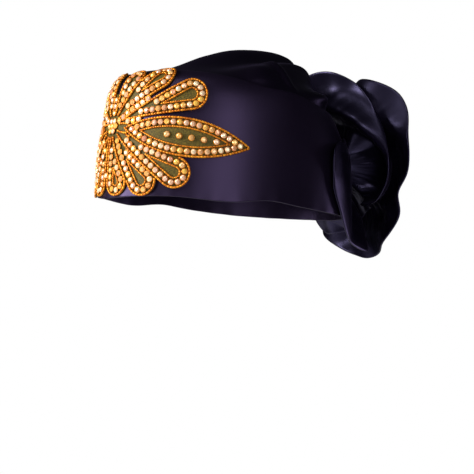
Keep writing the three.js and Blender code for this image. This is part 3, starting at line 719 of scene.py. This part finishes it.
def petal_side(start, reach, half_width, pointed, inset):
    """One side of a petal drawn in by an inset, from its foot to its tip, as (along, beside)."""
    if pointed:
        half, middle = (reach - start) / 2, (reach + start) / 2
        radius = (half**2 + half_width**2) / (2 * half_width)
        drop = radius - half_width
        bow = radius - inset
        sweep = math.acos(drop / bow)
        turn = np.linspace(-sweep, sweep, SIDE_STEPS + TIP_STEPS)
        return np.stack([middle + bow * np.sin(turn), bow * np.cos(turn) - drop], 1)
    centre, radius = reach - half_width, half_width - inset
    lean = math.asin(half_width / (centre - start))
    foot = start + inset / math.sin(lean)
    shoulder = np.array([centre - radius * math.sin(lean), radius * math.cos(lean)])
    t = np.linspace(0, 1, SIDE_STEPS, endpoint=False)[:, None]
    straight = lerp(np.array([foot, 0.0]), shoulder, t)
    turn = np.linspace(math.pi / 2 + lean, 0, TIP_STEPS)
    tip = np.stack([centre + radius * np.cos(turn), radius * np.sin(turn)], 1)
    return np.vstack([straight, tip])


def turned(points, bearing):
    """Flat points turned round the middle of the fan."""
    c, s = math.cos(math.radians(bearing)), math.sin(math.radians(bearing))
    return points @ np.array([[c, s], [-s, c]])


def outline(petal, inset):
    """The closed outline of a petal in the flat drawing, drawn in by an inset."""
    side = petal_side(*petal[2:], inset)
    loop = np.vstack([side * (1, -1), side[-2:0:-1]])
    return turned(loop, petal[1])


def mirrored(petal):
    """The same petal on the other side of the fan."""
    return (petal[0] + "_right", 180 - petal[1], *petal[2:])


ALL_PETALS = [p for petal in PETALS for p in (petal, mirrored(petal))]


def inside(points, loop):
    """Which points lie inside a closed loop."""
    x, y = points[:, :1], points[:, 1:]
    (x0, y0), (x1, y1) = loop.T, np.roll(loop, -1, 0).T
    crosses = (y0 > y) != (y1 > y)
    with np.errstate(divide="ignore", invalid="ignore"):
        at = x0 + (y - y0) / (y1 - y0) * (x1 - x0)
    return (crosses & (x < at)).sum(1) % 2 == 1


def free_of(points, petal, grow):
    """Which points no petal higher up covers. Outlines are grown by a margin for the test."""
    free = np.ones(len(points), bool)
    for other in ALL_PETALS[: ALL_PETALS.index(petal)]:
        free &= ~inside(points, outline(other, -grow))
    return free


def spaced(loop, pitch, step=0.3):
    """Points at an even pitch along a closed loop, with the direction of the loop at each."""
    loop = np.vstack([loop, loop[:1]])
    length = np.concatenate([[0], np.cumsum(np.linalg.norm(np.diff(loop, axis=0), axis=1))])
    count = max(2, round(length[-1] / pitch))
    at = np.arange(count) * length[-1] / count
    points, ahead, behind = (
        np.stack([np.interp(where, length, loop[:, i]) for i in (0, 1)], 1)
        for where in (at, np.minimum(at + step, length[-1]), np.maximum(at - step, 0))
    )
    return points, ahead - behind


print("petals", len(ALL_PETALS))

# %% [markdown]
# ## Applique: one bead, one stone, one cup
# Beads and stones repeat by the hundred, so each is modelled once, as by hand, from a primitive: the
# bead is a short tube with its ends bevelled, the stone a drum with a stepped crown, and the cup a
# thin ring. Only a few dozen faces each, because the copies add up.

# %% Model the small parts
BEAD_LENGTH, BEAD_RADIUS, BEAD_BEVEL = 2.3, 0.85, 0.22
STONE_RADIUS, STONE_DRUM = 2.05, 0.5
STONE_STEPS = ((0.4, 0.5), (0.65, 0.35))  # how far each step of the crown is drawn in, and its rise
CUP_PLAY, CUP_WIRE = 0.1, 0.36  # room round the stone, radius of the ring's wire
FACING = 0.9  # least part of a face's normal that points along the axis


def take_template():
    """The faces and points of the active object, which is then thrown away."""
    piece = bpy.context.object
    points = np.array([v.co for v in piece.data.vertices]) / MM
    faces = [tuple(p.vertices) for p in piece.data.polygons]
    bpy.data.objects.remove(piece)
    return points, faces


def edit_faces(face_test):
    """Enters edit mode with only those faces selected that pass a test."""
    piece = bpy.context.object
    bpy.ops.object.mode_set(mode="EDIT")
    bpy.ops.mesh.select_mode(type="FACE")
    bpy.ops.mesh.select_all(action="DESELECT")
    bpy.ops.object.mode_set(mode="OBJECT")
    for polygon in piece.data.polygons:
        polygon.select = bool(face_test(polygon))
    bpy.ops.object.mode_set(mode="EDIT")


bpy.ops.object.select_all(action="DESELECT")
bpy.ops.mesh.primitive_cylinder_add(vertices=8, radius=BEAD_RADIUS * MM, depth=BEAD_LENGTH * MM)
edit_faces(lambda polygon: abs(polygon.normal.z) > FACING)
bpy.ops.mesh.bevel(offset=BEAD_BEVEL * MM, segments=1)
bpy.ops.object.mode_set(mode="OBJECT")
points, faces = take_template()
bead = (points[:, [2, 0, 1]], faces)  # laid down, its length along the row

bpy.ops.mesh.primitive_cylinder_add(
    vertices=10, radius=STONE_RADIUS * MM, depth=STONE_DRUM * MM, location=(0, 0, STONE_DRUM / 2 * MM)
)
bpy.ops.object.transform_apply(location=True, rotation=True, scale=True)
edit_faces(lambda polygon: polygon.normal.z > FACING)
for drawn_in, rise in STONE_STEPS:
    bpy.ops.mesh.inset(thickness=drawn_in * MM)
    bpy.ops.transform.translate(value=(0, 0, rise * MM))
bpy.ops.object.mode_set(mode="OBJECT")
stone = take_template()

bpy.ops.mesh.primitive_torus_add(
    major_radius=(STONE_RADIUS + CUP_PLAY) * MM,
    minor_radius=CUP_WIRE * MM,
    major_segments=10,
    minor_segments=4,
)
cup = take_template()
print("faces: bead", len(bead[1]), "stone", len(stone[1]), "cup", len(cup[1]))

# %% [markdown]
# ## Applique: copies along a row
# Hundreds of objects would be slow to handle, so the copies of a row are written into one mesh. Each one
# is turned along its row, stands straight out of the band, and is tilted by chance as hand work is. The
# draws start from a fixed seed, so every run gives the same row.

# %% Copies in one mesh
def strew(name, template, flat, ahead, lift, size, seed, tilt=0.0, smooth=True):
    """One mesh with a copy of a small part at each flat place, turned along and standing on the band."""
    random = np.random.default_rng(seed)
    points, faces = template
    middle = lay(flat, lift)
    along = lay(flat + ahead * 0.2, lift) - middle
    along /= np.linalg.norm(along, axis=1, keepdims=True)
    angle, height = on_band(flat)
    out = form_normal(angle, height) + random.normal(0, 1, middle.shape) * tilt
    out /= np.linalg.norm(out, axis=1, keepdims=True)
    across = np.cross(out, along)
    across /= np.linalg.norm(across, axis=1, keepdims=True)
    along = np.cross(across, out)
    axes = np.stack([along, across, out], 1) * size
    all_points = (middle[:, None, :] + np.einsum("pk,nkj->npj", points, axes)).reshape(-1, 3)
    count = len(flat)
    corners = np.concatenate([np.array(f) for f in faces])
    loops = (corners[None, :] + np.arange(count)[:, None] * len(points)).ravel()
    corner_counts = np.tile([len(f) for f in faces], count)
    loop_starts = np.concatenate([[0], np.cumsum(corner_counts)[:-1]])
    mesh = bpy.data.meshes.new(name)
    mesh.vertices.add(len(all_points))
    mesh.vertices.foreach_set("co", (all_points * MM).astype(np.float32).ravel())
    mesh.loops.add(len(loops))
    mesh.loops.foreach_set("vertex_index", loops.astype(np.int32))
    mesh.polygons.add(len(corner_counts))
    mesh.polygons.foreach_set("loop_start", loop_starts.astype(np.int32))
    mesh.polygons.foreach_set("loop_total", corner_counts.astype(np.int32))
    mesh.polygons.foreach_set("use_smooth", [smooth] * len(corner_counts))
    mesh.update(calc_edges=True)
    mesh.validate()
    tint = mesh.attributes.new("tint", "FLOAT", "POINT")
    tint.data.foreach_set("value", np.repeat(random.random(count), len(points)).astype(np.float32))
    piece = bpy.data.objects.new(name, mesh)
    bpy.context.scene.collection.objects.link(piece)
    print(name, count, "copies,", len(corner_counts), "faces")
    return piece


# %% [markdown]
# ## Applique: finishes
# The beads are orange gold, the stones pale and foil-backed, every one a little different. A material
# for each would be a long list, so a tint is kept with the points of each copy and one finish reads it.
# The ground is a fine olive net.

# %% Gold, stone and net
def tinted(name, colours, metallic, roughness):
    """A finish whose colour and roughness run with the tint of each copy."""
    material, tree, shader = new_finish(name)
    link = tree.links.new
    fill(shader, Metallic=metallic)
    tint = node(tree, "ShaderNodeAttribute", attribute_name="tint")
    ramp = shades(tree, *((i / (len(colours) - 1), colour) for i, colour in enumerate(colours)))
    link(tint.outputs["Fac"], ramp.inputs["Fac"])
    link(ramp.outputs["Color"], shader.inputs["Base Color"])
    rough = node(tree, "ShaderNodeMapRange")
    fill(rough, To_Min=roughness[0], To_Max=roughness[1])
    link(tint.outputs["Fac"], rough.inputs["Value"])
    link(rough.outputs[0], shader.inputs["Roughness"])
    return material


GOLDS = [(0.46, 0.115, 0.003), (0.7, 0.215, 0.006), (0.88, 0.35, 0.022)]
FOILS = [(0.78, 0.36, 0.22), (1.0, 0.58, 0.1), (0.85, 0.52, 0.36), (1.0, 0.84, 0.52)]
NET_SCALE = 900  # meshes of the net per metre
bead_gold = tinted("bead_gold", GOLDS, 0.6, (0.28, 0.45))
stone_foil = tinted("stone_foil", FOILS, 0.25, (0.06, 0.16))

net, tree, shader = new_finish("ground_net")
fill(shader, Roughness=0.6, Specular_IOR_Level=0.2)
place = node(tree, "ShaderNodeTexCoord")
mesh_of_net = node(tree, "ShaderNodeTexVoronoi", feature="DISTANCE_TO_EDGE")
fill(mesh_of_net, Scale=NET_SCALE)
tree.links.new(place.outputs["Object"], mesh_of_net.inputs["Vector"])
ramp = shades(tree, (0.05, (0.15, 0.107, 0.016)), (0.2, (0.045, 0.034, 0.008)))
tree.links.new(mesh_of_net.outputs["Distance"], ramp.inputs["Fac"])
tree.links.new(ramp.outputs["Color"], shader.inputs["Base Color"])
print("finishes", bead_gold.name, stone_foil.name, net.name)

# %% [markdown]
# ## Applique: ground
# The net ground of a petal shows between its rows. It is made of rings of points, from the outline to the
# axis, so that it bends with the band. A flat face cut to the outline would stand off it. Later petals
# lie a hair lower, so no two grounds share a place.

# %% The net ground
GROUND_LIFT, GROUND_WALL = 0.75, 0.3
PETAL_SINK, MIDDLE_SINK = 0.02, 0.2  # of each pair of petals under the one before, and of the middle
GROUND_INSETS = (0.4, 3, 6, 9, 12)  # rings of points in a petal, as far as they fit
RINGS_TO = 0.8  # share of a petal's half width
MIDDLE_RINGS = (25, 19, 13, 7, 0)  # of the round ground under the feet of the petals
MIDDLE_STEPS = 72


def ground_of(petal, lift):
    """A petal's ground as rings of points, from its outline to its axis."""
    half_width = petal[4]
    rings = [outline(petal, inset) for inset in GROUND_INSETS if inset < RINGS_TO * half_width]
    flipped = np.roll(rings[-1][::-1], 1, 0)
    rings.append((rings[-1] + flipped) / 2)
    return np.stack([lay(ring, lift) for ring in rings])


def circle(radius, count):
    """Flat points round the middle of the fan."""
    turn = np.arange(count) * 2 * np.pi / count
    return radius * np.stack([np.cos(turn), np.sin(turn)], 1)


grounds = []
for i, petal in enumerate(ALL_PETALS):
    rings = ground_of(petal, GROUND_LIFT - PETAL_SINK * (i // 2))
    grounds.append(cloth_object("ground_part", rings, True))
rings = np.stack([lay(circle(radius, MIDDLE_STEPS), GROUND_LIFT - MIDDLE_SINK) for radius in MIDDLE_RINGS])
grounds.append(cloth_object("ground_part", rings, True))
bpy.ops.object.select_all(action="DESELECT")
for part in grounds:
    part.select_set(True)
bpy.context.view_layer.objects.active = grounds[0]
bpy.ops.object.join()
ground = bpy.context.object
ground.name = "applique_ground"
bpy.ops.object.mode_set(mode="EDIT")
bpy.ops.mesh.select_all(action="SELECT")
bpy.ops.mesh.remove_doubles(threshold=1e-6)
bpy.ops.object.mode_set(mode="OBJECT")
give_wall(ground, GROUND_WALL, -1, levels=0)
make_piece(ground, net, "beadwork", "applique")

# %% [markdown]
# ## Applique: beaded lines
# Each petal has a beaded edge and a second, finer line inside its stones. Where two petals meet, the one
# that lies on top keeps its edge and the other gives way, so that neighbours share a line as they do in
# embroidery.

# %% The beaded lines
EDGE_INSET, EDGE_PITCH, EDGE_LIFT = 1.0, BEAD_LENGTH - 0.06, GROUND_LIFT + 0.7
INNER_SCALE = 0.8
INNER_INSET, INNER_PITCH, INNER_LIFT = 7.9, BEAD_LENGTH * INNER_SCALE - 0.04, GROUND_LIFT + 0.6
EDGE_MARGIN, INNER_MARGIN = 0.6, -3.5  # by which the petals on top are grown before a bead gives way
BEAD_TILT = 0.02
MIDDLE_RADIUS = 9  # no row comes nearer to the middle of the fan


def rows_of(inset, pitch, grow, least=2.0):
    """Places along the petals' lines at an inset, where nothing lies on top, on petals wide enough."""
    flat, ahead = [], []
    for petal in ALL_PETALS:
        if inset > petal[4] - least:
            continue
        points, direction = spaced(outline(petal, inset), pitch)
        keep = free_of(points, petal, grow) & (np.linalg.norm(points, axis=1) > MIDDLE_RADIUS)
        flat.append(points[keep])
        ahead.append(direction[keep])
    return np.vstack(flat), np.vstack(ahead)


flat, ahead = rows_of(EDGE_INSET, EDGE_PITCH, EDGE_MARGIN)
edging = strew("applique_edging", bead, flat, ahead, EDGE_LIFT, 1.0, 11, tilt=BEAD_TILT)
make_piece(edging, bead_gold, "beadwork")
flat, ahead = rows_of(INNER_INSET, INNER_PITCH, INNER_MARGIN)
inner_line = strew("applique_inner_line", bead, flat, ahead, INNER_LIFT, INNER_SCALE, 12, tilt=BEAD_TILT)
make_piece(inner_line, bead_gold, "beadwork")

# %% [markdown]
# ## Applique: stones
# A row of stones runs between the two beaded lines, each stone in a thin cup. Rows that meet at the feet
# of the petals would overlap, so a stone is dropped where another one already sits. Gaps that are too
# narrow for a row get single stones.

# %% The stones and their cups
STONE_INSET, STONE_PITCH, STONE_SIZE = 4.45, 4.8, 0.98
STONE_LIFT, CUP_LIFT, STONE_TILT = GROUND_LIFT + 0.75, GROUND_LIFT + 0.95, 0.06
STONE_MARGIN, STONE_LEAST = -2.2, 2.6  # as for the beads; half width left inside the row
STONE_ROOM = 0.86 * STONE_PITCH  # least distance between two stones
MIDDLE_STONES, MIDDLE_STONE_RING = 6, 4.4  # round the one in the middle
GAP_RADII, GAP_LEAST, GAP_MOST = np.arange(9, 40, 1.0), 1.6, 6.5  # where gaps are filled, and how wide
GAP_STEPS = 720


def gap_places():
    """The middles of the narrow gaps between two petals, on circles round the middle of the fan."""
    flat = []
    for radius in GAP_RADII:
        ring = circle(radius, GAP_STEPS)
        covered = np.any([inside(ring, outline(petal, 0)) for petal in ALL_PETALS], axis=0)
        starts = np.flatnonzero(covered & ~np.roll(covered, -1))
        ends = np.flatnonzero(~covered & np.roll(covered, -1))
        for start in starts:
            steps = np.min((ends - start) % GAP_STEPS)
            if GAP_LEAST < steps * radius * 2 * np.pi / GAP_STEPS < GAP_MOST:
                flat.append(ring[(start + (steps + 1) // 2) % GAP_STEPS])
    return np.array(flat)


flat, ahead = rows_of(STONE_INSET, STONE_PITCH, STONE_MARGIN, least=STONE_LEAST)
extra = np.vstack([circle(0, 1), circle(MIDDLE_STONE_RING, MIDDLE_STONES), gap_places()])
outward = extra + (0.01, 0)  # the stone in the middle has a direction too
flat = np.vstack([flat, extra])
ahead = np.vstack([ahead, outward / np.linalg.norm(outward, axis=1, keepdims=True)])
kept = []
for i, point in enumerate(flat):
    if all(np.linalg.norm(point - flat[j]) > STONE_ROOM for j in kept):
        kept.append(i)
flat, ahead = flat[kept], ahead[kept]
stones = strew(
    "applique_stones", stone, flat, ahead, STONE_LIFT, STONE_SIZE, 21, tilt=STONE_TILT, smooth=False
)
make_piece(stones, stone_foil, "crystal")
cups = strew("applique_cups", cup, flat, ahead, CUP_LIFT, STONE_SIZE, 22)
make_piece(cups, bead_gold, "beadwork")

# %% [markdown]
# ## Applique: stones of the side leaves
# The two long leaves have five stones each along the middle, widely spaced on the bare net. They stand
# for solids of their own, so they are a piece of their own, at the places of those solids.

# %% The single stones of the side leaves
LEAF_STONES = [52 + 9 * i for i in range(5)]  # places along the leaf, from the middle of the fan
LEAF_LIFT, LEAF_SIZE, LEAF_TILT = 1.75, 0.98, 0.1

leaves = [petal for petal in ALL_PETALS if petal[0].startswith("leaf") and "stem" not in petal[0]]
flat = np.vstack([turned(np.array([(a, 0.0) for a in LEAF_STONES]), petal[1]) for petal in leaves])
ahead = np.tile((1.0, 0.0), (len(flat), 1))
leaf_stones = strew(
    "leaf_stones", stone, flat, ahead, LEAF_LIFT, LEAF_SIZE, 23, tilt=LEAF_TILT, smooth=False
)
names = [f"leaf_stone_{side}_{i}" for side in ("left", "right") for i in range(1, 6)]
make_piece(leaf_stones, stone_foil, "crystal", *names)
leaf_cups = strew("leaf_stone_cups", cup, flat, ahead, LEAF_LIFT, LEAF_SIZE, 24)
make_piece(leaf_cups, bead_gold, "beadwork")
